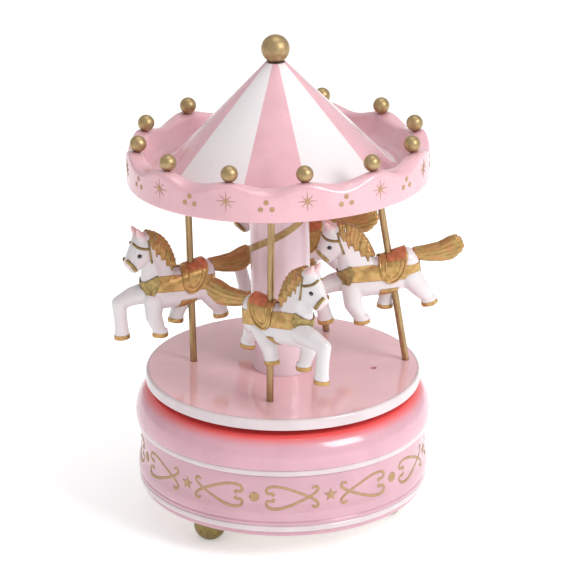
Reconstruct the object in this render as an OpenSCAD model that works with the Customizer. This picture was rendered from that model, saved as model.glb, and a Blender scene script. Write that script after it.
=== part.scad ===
// Carousel music box: a wind-up movement in a round base turns a deck with four horses and a canopy.
// Origin on the turning axis, level with the undersides of the feet. +Z is up.

/* [Base] */
// Height of the base's underside above the table
base_bottom = 9.8; // [8:0.1:10]
// Radius of the waist wall
waist_r = 49.3; // [49:0.1:49.6]
// Radius of the widest part of the shoulder
shoulder_r = 51; // [50.6:0.1:51.4]
// Radius of the ball feet
foot_r = 5.5; // [5.2:0.1:5.6]
// Distance of each foot from the axis
foot_offset = 37.3; // [36:0.1:38]

/* [Deck and column] */
// Height of the deck's top face
deck_top = 52.2; // [52.2:0.1:52.4]
// Radius of the deck
deck_r = 47.4; // [47:0.1:47.6]
// Thickness of the deck
deck_t = 4; // [3.8:0.1:4]
// Radius of the column
column_r = 10.2; // [10:0.1:10.4]
// Climb of the ribbon in one turn of the column
ribbon_pitch = 33.3; // [30:0.1:36]
// Width of the ribbon, measured upwards
ribbon_w = 2.6; // [2:0.1:3.2]

/* [Canopy] */
// Height of the canopy's lower edge
canopy_bottom = 121.3; // [121.2:0.1:121.5]
// Outer radius of the canopy
canopy_r = 51.4; // [51.2:0.1:51.6]
// Height of the point where the straight cone would meet the axis
cone_apex = 165.1; // [165:0.05:165.3]
// Drop of the cone for each millimetre of radius
cone_fall = 1.034; // [1.03:0.002:1.04]
// Sideways lean of the canopy, in degrees
canopy_roll = -1.2; // [-1.3:0.1:-1.1]
// Backward lean of the canopy, in degrees
canopy_pitch = -2.2; // [-2.3:0.1:-2.1]
// Radius of the small balls on the brim
rim_ball_r = 2.85; // [2.7:0.05:2.9]
// Radius of the finial ball
finial_r = 4.8; // [4.6:0.1:5]

/* [Horses and poles] */
// Distance of the pole sockets from the axis
pole_offset = 31.2; // [31:0.1:31.4]
// Radius of the poles
pole_r = 1.18; // [1.1:0.02:1.2]
// Length of the poles
pole_len = 78.3; // [76:0.1:79]
// Height of the saddle above the deck
saddle_h = 36.4; // [36:0.1:37]
// Depth of the sockets in the deck
socket_depth = 2; // [1.5:0.1:2.2]

/* [Movement] */
// Teeth of the great wheel, cut on its upper face
crown_teeth = 42; // [42:1:42]
// Teeth of the pinion on the pinned cylinder's arbor
pinion_teeth = 12; // [12:1:12]
// Height of the teeth of the great wheel
crown_h = 2; // [1.8:0.1:2]
// Radius of the pinned cylinder
drum_r = 6; // [5.8:0.1:6]
// Teeth of the comb
comb_teeth = 18; // [18:1:18]
// Turns of the mainspring
spring_turns = 6; // [4:1:7]

/* [Hidden] */
$fn = 96;

pink = [0.93, 0.70, 0.75];
pale_pink = [0.95, 0.86, 0.88];
cream = [0.97, 0.95, 0.95];
gold = [0.72, 0.58, 0.33];
steel = [0.72, 0.73, 0.75];
fit_gap = 0.02;
run_gap = 0.07;

// base
foot_angles = [228, 348, 108];
base_inner_r = 46;
foot_ring_r = 48.85;
plate_t = 2.2;
plate_r = 45.8;
lower_ring_z = 12.1;
upper_ring_z = 32.5;
upper_ring_top = 35;
shoulder_top = 46;
cover_t = 2.6;
boss_r = 3.2;
boss_offset = 42;
boss_angles = [48, 168, 288];

// movement
arbor_r = 1.5;
bedplate_z = 15;
bedplate_t = 1.5;
bedplate_top = bedplate_z + bedplate_t;
post_places = [[-13, 13], [-13, -13], [26, -14], [24, 14]];
barrel_r = 13;
barrel_wall = 1;
barrel_top = 27.5;
wheel_z = 28.5;
wheel_t = 2;
crown_out = 14.5;
crown_in = 12.7;
crown_mid = (crown_out + crown_in) / 2;
crown_pitch = 2 * PI * crown_mid / crown_teeth;
pinion_pitch_r = pinion_teeth * crown_pitch / (2 * PI);
train_z = wheel_z + wheel_t + crown_h / 2 + pinion_pitch_r;
tooth_module = 0.4;
gear_teeth = 30;
gear_pitch_r = gear_teeth * tooth_module / 2;
small_teeth = 10;
small_pitch_r = small_teeth * tooth_module / 2;
axle_y = gear_pitch_r + small_pitch_r;
worm_wheel_teeth = 24;
worm_wheel_pitch_r = worm_wheel_teeth * tooth_module / 2;
worm_pitch_r = 1.4;
worm_y = axle_y + worm_wheel_pitch_r + worm_pitch_r;
worm_x = 38.4;
worm_pitch = PI * tooth_module;
drum_x = 18;
drum_len = 15;
gear_x = 35;
gear_t = 1.6;
cylinder_axle_r = 0.9;
train_axle_r = 0.7;
worm_shaft_r = 0.5;
pin_r = 0.25;
pin_h = 0.5;
comb_gap = 0.2;
comb_t = 0.8;
comb_tip_y = -(drum_r + pin_h + comb_gap);

// deck, canopy and horses
deck_bottom = deck_top - deck_t;
ceiling_t = 1.5;
ceiling_r = 36.4;
ceiling_hole_r = 1.6;
rod_r = 1.25;
column_wall = 1.6;
waves = 12;
ball_angle = 11;
ball_offset = 47.5;
ball_z = canopy_bottom + 15.2;
finial_z = cone_apex + 1;
canopy_shift = [-1.5, 0.8];
rod_low = deck_bottom + 0.3;
finial_rise = finial_z - canopy_bottom;
rod_run = [canopy_shift[0] + finial_rise * cos(canopy_pitch) * sin(canopy_roll),
  canopy_shift[1] - finial_rise * sin(canopy_pitch),
  canopy_bottom + finial_rise * cos(canopy_pitch) * cos(canopy_roll) - rod_low];
rod_len = norm(rod_run);
rod_lean = acos(rod_run[2] / rod_len);
rod_turn = atan2(rod_run[1], rod_run[0]);

// Each pole goes from its foot on the deck to its head in the ceiling. Two have popped out of
// their sockets and lean on the deck, with their horses pushed up.
pole_angles = [262, 356, 86, 172];
sockets = [for (a = pole_angles) pole_offset * [cos(a), sin(a)]];
popped = [false, true, true, false];
pole_feet = [sockets[0], [42.66, 5.41], [15.4, 31.8], sockets[3]];
head_z = 124.4;
head_play = [[0.6, 0], [0, 0], [0, 0], [-1.7, 0]];
pole_runs = [for (i = [0:3]) sockets[i] + head_play[i] - pole_feet[i]];
pole_leans = [for (run = pole_runs) atan(norm(run) / (head_z - deck_top))];
pole_turns = [for (run = pole_runs) atan2(run[1], run[0])];
headings = [-38, 187, 182, 211];
slips = [0.4, 3.4, 2.6, 0];
slides = [-1.2, -0.4, 0, 0.7];

// A shape turned about the axis from points of radius and height.
module turned(points) {
  rotate_extrude() polygon(points);
}

// A cylinder lying along X from x0 to x1 with its axis at y, z.
module bar_x(x0, x1, y, z, r) {
  translate([x0, y, z]) rotate([0, 90, 0]) cylinder(r = r, h = x1 - x0);
}

// Points of a gear outline with tapered teeth, narrower than the gaps.
function gear_outline(teeth, root_r, tip_r, root_half, tip_half, phase) = [
  for (i = [0:teeth - 1], k = [0:3])
    let (sign = k < 2 ? -1 : 1, at_tip = k == 1 || k == 2)
    let (r = at_tip ? tip_r : root_r, half = at_tip ? tip_half : root_half)
    let (a = phase + i * 360 / teeth + sign * half / r * 180 / PI)
    [r * cos(a), r * sin(a)]];

// A gear lying across X, its teeth counted from +Y.
module gear_x_axis(x0, thickness, y, z, outline, bore) {
  translate([x0, y, z]) rotate([90, 0, 90]) linear_extrude(thickness) difference() {
    polygon(outline);
    circle(r = bore);
  }
}

// ---- base ----

module base_body() {
  color(pink) difference() {
    union() {
      turned([[base_inner_r, base_bottom + 0.3], [foot_ring_r - 0.3, base_bottom + 0.3],
        [foot_ring_r, base_bottom + 0.6], [foot_ring_r, lower_ring_z], [48.3, lower_ring_z],
        [48.3, 14.3], [49.9, 14.3], [49.9, 15.4], [49.6, 15.7], [49.9, 16], [50.3, 16.6],
        [50.3, 19.2], [49.8, 20.8], [waist_r, 22.2], [waist_r, upper_ring_z],
        [47.8, upper_ring_z], [47.8, 37], [base_inner_r, 37]]);
      for (a = boss_angles) rotate(a) translate([boss_offset + 1, 0, base_bottom + plate_t + 0.1]) {
        translate([0, -boss_r, 0]) cube([4, 2 * boss_r, 8]);
        cylinder(r = boss_r, h = 8);
      }
    }
    for (a = boss_angles) rotate(a)
      translate([boss_offset, 0, base_bottom]) cylinder(r = 1.1, h = 8);
  }
}

module base_shoulder() {
  cover_low = shoulder_top - cover_t;
  color(pink) turned([[5.1, cover_low], [base_inner_r - 0.5, cover_low], [48, 41],
    [48, upper_ring_top], [50.6, upper_ring_top], [shoulder_r - 0.1, 35.4], [shoulder_r, 36.4],
    [shoulder_r, 38], [50.7, 39.7], [50.3, 41.2], [49.7, 42.6], [48.6, 44.1], [47.4, 45.2],
    [46, shoulder_top], [5.1, shoulder_top]]);
}

module upper_trim_ring() {
  color(cream) turned([[47.9, upper_ring_z], [49.5, upper_ring_z], [50.1, 32.8],
    [50.4, 33.5], [50.5, 34.5], [50.3, upper_ring_top], [47.9, upper_ring_top]]);
}

module lower_trim_ring() {
  color(cream) turned([[48.4, lower_ring_z], [49.7, lower_ring_z], [50, 12.5],
    [50, 13.9], [49.7, 14.3], [48.4, 14.3]]);
}

module base_plate() {
  color(cream) difference() {
    translate([0, 0, base_bottom]) cylinder(r = plate_r, h = plate_t);
    translate([0, 0, base_bottom - 1]) cylinder(r = arbor_r + run_gap, h = plate_t + 2);
    for (a = foot_angles) rotate(a)
      translate([foot_offset, 0, base_bottom - 1]) cylinder(r = 1.1, h = plate_t + 2);
    for (a = boss_angles) rotate(a)
      translate([boss_offset, 0, base_bottom - 1]) cylinder(r = 1.15, h = plate_t + 2);
    for (p = post_places)
      translate([p[0], p[1], base_bottom - 1]) cylinder(r = 1.15, h = plate_t + 2);
  }
}

// A pan-head screw pointing up, its head's underside at z = 0.
module screw_up(length, shank) {
  translate([0, 0, -fit_gap]) cylinder(r = shank, h = length);
  difference() {
    translate([0, 0, -1.2]) cylinder(r = 2 * shank, h = 1.2 - fit_gap);
    translate([-2 * shank, -0.25, -1.3]) cube([4 * shank, 0.5, 0.6]);
  }
}

module plate_screws() {
  color(steel) for (a = boss_angles) rotate(a)
    translate([boss_offset, 0, base_bottom]) screw_up(8, 1.05);
}

module foot(angle) {
  color(gold) rotate(angle) translate([foot_offset, 0, 0]) difference() {
    intersection() {
      translate([0, 0, base_bottom / 2]) sphere(r = foot_r);
      cylinder(r = foot_r + 1, h = base_bottom);
    }
    translate([0, 0, 3]) cylinder(r = 1.05, h = base_bottom);
  }
}

module foot_screws() {
  color(steel) for (a = foot_angles) rotate(a) {
    translate([foot_offset, 0, base_bottom + plate_t]) rotate([180, 0, 0]) screw_up(8, 1);
  }
}

// ---- movement, fixed pieces ----

module movement_bedplate() {
  color(gold) difference() {
    union() {
      translate([0, 0, bedplate_z]) linear_extrude(bedplate_t) intersection() {
        translate([-17, -24]) square([60, 42]);
        circle(r = 44.5);
      }
      for (p = post_places) translate([p[0], p[1], base_bottom + plate_t])
        cylinder(r = 2.4, h = bedplate_z - base_bottom - plate_t);
    }
    translate([0, 0, bedplate_z - 1]) cylinder(r = arbor_r + run_gap, h = 4);
    for (p = post_places) translate([p[0], p[1], base_bottom]) cylinder(r = 1.05, h = 6);
  }
}

module movement_screws() {
  color(steel) for (p = post_places)
    translate([p[0], p[1], base_bottom]) screw_up(5, 1);
}

module spring_barrel() {
  color(gold) translate([0, 0, bedplate_top]) difference() {
    cylinder(r = barrel_r, h = barrel_top - bedplate_top);
    translate([0, 0, barrel_wall])
      cylinder(r = barrel_r - barrel_wall, h = barrel_top - bedplate_top - 2 * barrel_wall);
    translate([0, 0, -1]) cylinder(r = arbor_r + run_gap, h = 20);
  }
}

// Points along a spiral from radius r0 to r1.
function spiral(r0, r1, turns, steps) = [
  for (i = [0:turns * steps])
    let (r = r0 + (r1 - r0) * i / (turns * steps), a = i * 360 / steps)
    [r * cos(a), r * sin(a)]];

module mainspring() {
  half = 0.15;
  outer = spiral(2.4 + half, 11.6 + half, spring_turns, 20);
  inner = spiral(2.4 - half, 11.6 - half, spring_turns, 20);
  last = len(inner) - 1;
  color(steel) translate([0, 0, bedplate_top + 1.5]) linear_extrude(8)
    polygon(concat(outer, [for (i = [last:-1:0]) inner[i]]));
}

module comb_rest() {
  color(gold) difference() {
    translate([19, -23.5, bedplate_top]) cube([18, 6, train_z - comb_t / 2 - bedplate_top]);
    for (x = [21.5, 28, 34.5])
      translate([x, -20.5, train_z - comb_t / 2 - 6]) cylinder(r = 0.9, h = 8, $fn = 24);
  }
}

module comb() {
  comb_x0 = drum_x + 0.3;
  pitch = (drum_len - 0.6) / comb_teeth;
  color(steel) translate([0, 0, train_z - comb_t / 2]) difference() {
    union() {
      translate([comb_x0, -23.5, 0]) cube([comb_teeth * pitch - 0.2, 6.5, comb_t]);
      for (i = [0:comb_teeth - 1]) translate([comb_x0 + i * pitch, -17.5, 0])
        cube([pitch - 0.2, comb_tip_y + 17.5, comb_t]);
    }
    for (x = [21.5, 28]) translate([x, -20.5, -1]) cylinder(r = 0.95, h = 3, $fn = 24);
  }
}

module comb_screws() {
  color(steel) for (x = [21.5, 28])
    translate([x, -20.5, train_z + comb_t / 2]) rotate([180, 0, 0]) screw_up(6, 0.85);
}

module cylinder_bearings() {
  color(gold) for (x = [15.6, 41]) difference() {
    translate([x, -3, bedplate_top]) cube([1.4, 6, train_z + 3 - bedplate_top]);
    bar_x(x - 1, x + 3, 0, train_z, cylinder_axle_r + run_gap);
  }
}

module governor_frame() {
  plate_y = 5.6;
  frame_h = train_z + 7 - bedplate_top;
  color(gold) difference() {
    union() {
      translate([33.4, plate_y, bedplate_top]) cube([1, 10.4, frame_h]);
      translate([40.6, plate_y, bedplate_top]) cube([1, 4.8, frame_h - 3]);
      for (z = [21, bedplate_top + frame_h - 1.2])
        translate([33.4, worm_y - 1.6, z]) cube([6.8, 3.4, 1.2]);
    }
    bar_x(33, 42, axle_y, train_z, train_axle_r + run_gap);
    translate([worm_x, worm_y, 20]) cylinder(r = worm_shaft_r + run_gap, h = 30, $fn = 24);
  }
}

module deck_bearing_bush() {
  color(gold) difference() {
    union() {
      translate([0, 0, shoulder_top - cover_t - 3]) cylinder(r = 5.05, h = cover_t + 3);
      translate([0, 0, shoulder_top - cover_t - 3]) cylinder(r = 7, h = 3);
    }
    translate([0, 0, 30]) cylinder(r = arbor_r + run_gap, h = 30);
  }
}

// ---- carousel: everything that turns with the winding arbor ----

module winding_key() {
  color(gold) difference() {
    union() {
      translate([0, 0, 3.4]) cylinder(r = 3.4, h = 5.6);
      translate([0, 1.1, 1.2]) rotate([90, 0, 0]) linear_extrude(2.2) hull() {
        for (x = [-8.4, 8.4]) translate([x, 2.6]) circle(r = 2.6);
      }
    }
    translate([0, 0, 2]) cylinder(r = arbor_r + fit_gap, h = 8);
  }
}

module winding_arbor() {
  color(steel) translate([0, 0, 2 + fit_gap]) cylinder(r = arbor_r, h = 45.5);
}

module great_wheel() {
  root_half = 0.42;
  tip_half = 0.17;
  color(gold) difference() {
    union() {
      translate([0, 0, wheel_z]) cylinder(r = crown_out, h = wheel_t);
      translate([0, 0, barrel_top + 0.3]) cylinder(r = 3.5, h = 4.5);
      for (i = [0:crown_teeth - 1]) rotate((i + 0.5) * 360 / crown_teeth)
        translate([crown_in, 0, wheel_z + wheel_t]) rotate([90, 0, 90])
          linear_extrude(crown_out - crown_in - 0.2) polygon([[-root_half, -0.2],
            [root_half, -0.2], [root_half, 0], [tip_half, crown_h], [-tip_half, crown_h],
            [-root_half, 0]]);
    }
    translate([0, 0, barrel_top]) cylinder(r = arbor_r + fit_gap, h = 8);
    for (a = [0:72:288]) rotate(a) translate([8, 0, wheel_z - 1]) cylinder(r = 2.4, h = 4);
  }
}

module drive_hub() {
  color(gold) difference() {
    union() {
      translate([0, 0, deck_bottom - 1.6]) cylinder(r = 9, h = 1.6 - fit_gap);
      translate([0, 0, deck_bottom - 0.5]) cylinder(r = 4, h = 7);
    }
    translate([0, 0, deck_bottom - 2]) cylinder(r = arbor_r + fit_gap, h = 1.6);
    along_rod() translate([0, 0, -0.1]) cylinder(r = rod_r + fit_gap, h = 8);
  }
}

module deck_disc() {
  color(pink) difference() {
    translate([0, 0, deck_bottom]) cylinder(r = deck_r - 0.9, h = deck_t);
    translate([0, 0, deck_bottom - 1]) cylinder(r = 4.1, h = deck_t + 2);
    for (a = pole_angles) rotate(a)
      translate([pole_offset, 0, deck_top - socket_depth]) cylinder(r = pole_r + run_gap, h = 4);
  }
}

module deck_rim() {
  inner = deck_r - 0.9 + fit_gap;
  color(cream) turned([[inner, deck_bottom], [deck_r - 0.3, deck_bottom], [deck_r, deck_bottom + 0.3],
    [deck_r, deck_top - 0.5], [deck_r - 0.4, deck_top - 0.1], [inner, deck_top - 0.1]]);
}

// Carries the canopy from upright to how it sits, a little askew on the column.
module askew() {
  translate([canopy_shift[0], canopy_shift[1], canopy_bottom])
    rotate([canopy_pitch, canopy_roll, 0]) translate([0, 0, -canopy_bottom]) children();
}

// Puts a piece on the tie rod's axis, its own z = 0 at the rod's lower end.
module along_rod() {
  translate([0, 0, rod_low]) rotate([0, rod_lean, rod_turn]) rotate(-rod_turn) children();
}

// The column leans with the tie rod and is cut level at the deck and at the ceiling.
module column() {
  color(pale_pink) difference() {
    along_rod() translate([0, 0, 2]) cylinder(r = column_r, h = canopy_bottom - deck_top + 4);
    along_rod() cylinder(r = column_r - column_wall, h = canopy_bottom);
    translate([0, 0, deck_bottom]) cylinder(r = 2 * column_r, h = deck_t);
    askew() translate([0, 0, canopy_bottom]) cylinder(r = 2 * column_r, h = 10);
  }
}

// The ribbon as rings of four points climbing round the column.
module column_ribbon() {
  step = 5;
  inner = column_r + 0.02;
  outer = column_r + 0.2;
  low = deck_top + 0.6;
  high = canopy_bottom - 0.9;
  start = (49.6 - ribbon_pitch * 270 / 360) / ribbon_pitch * 360;
  count = floor((high - low - ribbon_w) / ribbon_pitch * 360 / step);
  first = (low - deck_top) / ribbon_pitch * 360 - start;
  points = [for (i = [0:count], k = [0:3])
    let (a = first + i * step, r = k < 2 ? inner : outer)
    let (z = low + i * step * ribbon_pitch / 360 + (k == 1 || k == 2 ? ribbon_w : 0))
    [r * cos(a), r * sin(a), z]];
  sides = [for (i = [0:count - 1], k = [0:3])
    let (a = 4 * i + k, b = 4 * i + (k + 1) % 4)
    [a, a + 4, b + 4, b]];
  color(gold) along_rod() translate([0, 0, -rod_low])
    polyhedron(points, concat(sides, [[0, 1, 2, 3],
      [4 * count + 3, 4 * count + 2, 4 * count + 1, 4 * count]]));
}

module tie_rod() {
  color(steel) along_rod() cylinder(r = rod_r, h = rod_len + 2);
}

module canopy_ceiling() {
  color(pale_pink) difference() {
    askew() translate([0, 0, canopy_bottom]) cylinder(r = ceiling_r, h = ceiling_t);
    along_rod() cylinder(r = rod_r + run_gap, h = rod_len);
    for (i = [0:3]) on_pole(i) translate([0, 0, 60]) cylinder(r = ceiling_hole_r, h = 30);
  }
}

// The roof's outline at one direction: crest runs from 0 in a dip of the brim to 1 under a ball.
function cone_z(r) = cone_apex - cone_fall * r;
function roof_outline(crest) =
  let (low = canopy_bottom, edge = low + 9.2 + 3.2 * crest, ridge = low + 10.7 + 1.6 * crest)
  [[canopy_r, low], [canopy_r, edge - 0.7], [canopy_r - 0.6, edge],
    [48.5, (edge + ridge) / 2 + 0.3], [46.4, ridge], [45.6, ridge - 0.3], [44.8, ridge - 2.4],
    [43.4, low + 5.8], [42.2, low + 4.2], [40.6, low + 3.6], [38.2, cone_z(38.2)],
    [3.4, cone_z(3.4)], [3.4, cone_z(3.4) - 1.9], [37.6, cone_z(37.6) - 1.9], [42.4, low],
    [44.2, low + 3.4], [45.9, low + 9], [canopy_r - 1.7, edge - 2.4], [canopy_r - 1.7, low]];

module canopy_roof() {
  steps = waves * 6;
  count = len(roof_outline(0));
  points = [for (i = [0:steps - 1])
    let (a = ball_angle + i * 360 / steps, crest = (1 + cos(i * waves * 360 / steps)) / 2)
    for (p = roof_outline(crest)) [p[0] * cos(a), p[0] * sin(a), p[1]]];
  faces = [for (i = [0:steps - 1], k = [0:count - 1])
    let (j = (i + 1) % steps, m = (k + 1) % count)
    [i * count + k, i * count + m, j * count + m, j * count + k]];
  color(pink) askew() difference() {
    polyhedron(points, faces, convexity = 8);
    for (i = [0:waves - 1]) rotate(ball_angle + i * 360 / waves)
      translate([ball_offset, 0, ball_z]) sphere(r = rim_ball_r + 0.07, $fn = 24);
  }
}

module finial_ball() {
  color(gold) along_rod() translate([0, 0, rod_len]) difference() {
    sphere(r = finial_r);
    translate([0, 0, -10]) cylinder(r = rod_r + fit_gap, h = 12 + 2 * fit_gap);
  }
}

module rim_ball(i) {
  color(gold) askew() rotate(ball_angle + (i - 1) * 360 / waves)
    translate([ball_offset, 0, ball_z]) sphere(r = rim_ball_r);
}

// ---- horses ----

// Puts a piece on pole i, its own z = 0 at the pole's lower end.
module on_pole(i) {
  low = deck_top - (popped[i] ? 0 : socket_depth) + pole_r * sin(pole_leans[i]) + fit_gap;
  translate([pole_feet[i][0], pole_feet[i][1], low])
    rotate([0, pole_leans[i], pole_turns[i]]) rotate(-pole_turns[i]) children();
}

module pole(i) {
  color(gold) on_pole(i) cylinder(r = pole_r, h = pole_len);
}

// A limb of balls given as [x, y, z, radius], each joined to the next.
module limb(balls) {
  for (i = [0:len(balls) - 2]) hull() {
    for (b = [balls[i], balls[i + 1]]) translate([b[0], b[1], b[2]]) sphere(r = b[3], $fn = 10);
  }
}

// A hoof under x, y with its sole at z, tipped by angle.
module hoof(x, y, z, angle) {
  translate([x, y, z]) rotate([0, angle, 0]) hull() {
    translate([0.5, 0, 0.35]) scale([1.25, 1, 1]) cylinder(r = 2.2, h = 0.7, center = true, $fn = 12);
    translate([0, 0, 2.4]) cylinder(r = 1.9, h = 0.2, $fn = 12);
  }
}

// The horse, nose towards +X, with the top of its saddle at the origin.
module horse_shape() {
  hull() {
    for (b = [[-5.4, -3.8, 4.4], [-5.2, -10, 4.3], [4, -4.6, 4], [13.6, -6.2, 4.3], [13.6, -10, 4.2],
        [4, -10.6, 4.3]])
      translate([b[0], 0, b[1]]) sphere(r = b[2], $fn = 14);
  }
  hull() {
    for (b = [[12.6, -5, 4.2], [15.6, -4, 3], [8.6, -2, 3], [10.4, 6.5, 2.4], [15, 5, 2.9]])
      translate([b[0], 0, b[1]]) sphere(r = b[2], $fn = 12);
  }
  hull() {
    for (b = [[10.4, 6.5, 2.4], [15, 5, 2.9], [13.4, 11.2, 2.4], [17.4, 11.2, 3]])
      translate([b[0], 0, b[1]]) sphere(r = b[2], $fn = 12);
  }
  hull() {
    for (b = [[17.6, 8, 3.3], [17.6, 11.4, 3], [20, 11.8, 2.4], [22.9, 5.2, 2.1], [21, 3, 2.1]])
      translate([b[0], 0, b[1]]) sphere(r = b[2], $fn = 12);
  }
  for (s = [-1, 1]) limb([[18.8, 1.7 * s, 14, 1.3], [20.4, 2 * s, 17.6, 0.5]]);
  // mane
  limb([[15.6, 0, 13.6, 1.9], [12, 0, 11.6, 2.1], [9.2, 0, 8.4, 2.3], [8, 0, 4, 2.4], [7, 0, 0.8, 1.6]]);
  // tail
  limb([[-8.6, 0, -2.6, 2], [-12, 0, -2.8, 2], [-16.4, 0, -3.4, 2.8], [-21.2, 0, -4.4, 2.9],
    [-23.1, 0, -1.2, 2.7]]);
  // right foreleg, stretched ahead
  limb([[16, -1.8, -8, 3.8], [26.2, -3, -9.3, 2.3], [25.6, -3.1, -19.2, 1.9]]);
  hoof(24.9, -3.1, -23.1, 0);
  // left foreleg
  limb([[15.6, 2, -10, 3.4], [15.9, 2.6, -15.2, 2.5], [13.6, 2.7, -19.8, 1.9]]);
  hoof(12.9, 2.7, -23.3, -6);
  // left hind leg
  limb([[-5.6, 1.8, -10, 4], [-8.4, 2.5, -14.2, 2.8], [-10.4, 2.7, -17.8, 1.9]]);
  hoof(-11.2, 2.7, -21.2, 6);
  // right hind leg, drawn forward
  limb([[-1.6, -1.8, -11, 3.6], [3.2, -3, -15.8, 2.2], [4.2, -3.1, -18.4, 1.9]]);
  hoof(3.8, -3.1, -21.8, -8);
}

module horse(i) {
  color(cream) on_pole(i) difference() {
    rotate(headings[i]) translate([slides[i], 0, saddle_h + socket_depth + slips[i]]) horse_shape();
    translate([0, 0, 5]) cylinder(r = pole_r + 0.04, h = 60, $fn = 32);
  }
}

// ---- pinned cylinder and governor ----

module cylinder_arbor() {
  teeth = gear_outline(pinion_teeth, 2.75, pinion_pitch_r + 0.75, 0.36, 0.18, 0);
  color(steel) {
    bar_x(11.6, 42.2, 0, train_z, cylinder_axle_r);
    gear_x_axis(12.2, 2.8, 0, train_z, teeth, cylinder_axle_r + 0.01);
  }
}

module cylinder_drum() {
  color(gold) difference() {
    bar_x(drum_x, drum_x + drum_len, 0, train_z, drum_r);
    bar_x(drum_x - 1, drum_x + drum_len + 1, 0, train_z, cylinder_axle_r + fit_gap);
  }
}

module cylinder_pins() {
  pitch = (drum_len - 0.6) / comb_teeth;
  color(steel) for (i = [0:comb_teeth - 1], k = [0:2]) {
    translate([drum_x + 0.3 + (i + 0.4) * pitch, 0, train_z]) rotate([i * 67 + k * 113, 0, 0])
      translate([0, 0, drum_r + 0.01]) cylinder(r = pin_r, h = pin_h, $fn = 8);
  }
}

module cylinder_gear() {
  teeth = gear_outline(gear_teeth, gear_pitch_r - 0.5, gear_pitch_r + 0.35, 0.3, 0.14, 0);
  color(gold) gear_x_axis(gear_x, gear_t, 0, train_z, teeth, cylinder_axle_r + fit_gap);
}

module governor_axle() {
  teeth = gear_outline(small_teeth, small_pitch_r - 0.5, small_pitch_r + 0.35, 0.3, 0.14, 18);
  color(steel) {
    bar_x(33, 42, axle_y, train_z, train_axle_r);
    gear_x_axis(gear_x - 0.1, gear_t + 0.2, axle_y, train_z, teeth, train_axle_r + 0.01);
  }
}

module worm_wheel() {
  teeth = gear_outline(worm_wheel_teeth, worm_wheel_pitch_r - 0.5, worm_wheel_pitch_r + 0.3,
    0.22, 0.12, 0);
  color(gold) gear_x_axis(worm_x - 0.6, 1.2, axle_y, train_z, teeth, train_axle_r + fit_gap);
}

// A helical thread as rings of four points round the worm's core.
module worm_thread(turns, core, crest, root_half, crest_half, phase) {
  steps = 20;
  count = turns * steps;
  points = [for (i = [0:count], k = [0:3])
    let (a = phase + i * 360 / steps, r = k == 0 || k == 3 ? core : crest)
    let (z = (i / steps - turns / 2) * worm_pitch)
    let (dz = (k < 2 ? -1 : 1) * (k == 0 || k == 3 ? root_half : crest_half))
    [r * cos(a), r * sin(a), z + dz]];
  sides = [for (i = [0:count - 1], k = [0:3])
    let (a = 4 * i + k, b = 4 * i + (k + 1) % 4)
    [a, b, b + 4, a + 4]];
  polyhedron(points, concat(sides, [[3, 2, 1, 0]],
    [[4 * count, 4 * count + 1, 4 * count + 2, 4 * count + 3]]));
}

module governor_worm() {
  color(steel) translate([worm_x, worm_y, 0]) {
    translate([0, 0, 20.6]) cylinder(r = worm_shaft_r, h = train_z + 7 - 20.6);
    translate([0, 0, train_z - 3.6]) difference() {
      cylinder(r = 0.95, h = 7.2);
      translate([0, 0, -1]) cylinder(r = worm_shaft_r + fit_gap, h = 10);
    }
    translate([0, 0, train_z]) worm_thread(5, 0.97, worm_pitch_r + 0.35, 0.22, 0.12, -90);
  }
}

module air_brake() {
  low = 23.4;
  high = 29.6;
  color(steel) translate([worm_x, worm_y, low]) difference() {
    union() {
      cylinder(r = 1.1, h = high - low);
      rotate(25) translate([-3.4, -0.2, 0.4]) cube([6.8, 0.4, high - low - 0.8]);
    }
    translate([0, 0, -1]) cylinder(r = worm_shaft_r + fit_gap, h = 10);
  }
}

base_body();
base_shoulder();
upper_trim_ring();
lower_trim_ring();
base_plate();
plate_screws();
foot(foot_angles[0]);  // foot_1
foot(foot_angles[1]);  // foot_2
foot(foot_angles[2]);  // foot_3
foot_screws();
movement_bedplate();
movement_screws();
spring_barrel();
mainspring();
comb_rest();
comb();
comb_screws();
cylinder_bearings();
governor_frame();
deck_bearing_bush();
winding_key();
winding_arbor();
great_wheel();
drive_hub();
deck_disc();
deck_rim();
column();
column_ribbon();
tie_rod();
canopy_ceiling();
canopy_roof();
finial_ball();
rim_ball(1);  // rim_ball_01
rim_ball(2);  // rim_ball_02
rim_ball(3);  // rim_ball_03
rim_ball(4);  // rim_ball_04
rim_ball(5);  // rim_ball_05
rim_ball(6);  // rim_ball_06
rim_ball(7);  // rim_ball_07
rim_ball(8);  // rim_ball_08
rim_ball(9);  // rim_ball_09
rim_ball(10);  // rim_ball_10
rim_ball(11);  // rim_ball_11
rim_ball(12);  // rim_ball_12
pole(0);  // pole_front
horse(0);  // horse_front
pole(1);  // pole_right
horse(1);  // horse_right
pole(2);  // pole_back
horse(2);  // horse_back
pole(3);  // pole_left
horse(3);  // horse_left
cylinder_arbor();
cylinder_drum();
cylinder_pins();
cylinder_gear();
governor_axle();
worm_wheel();
governor_worm();
air_brake();
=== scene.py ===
import math
import bmesh
import bpy
from mathutils import Matrix, Vector
from mathutils.bvhtree import BVHTree


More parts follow.
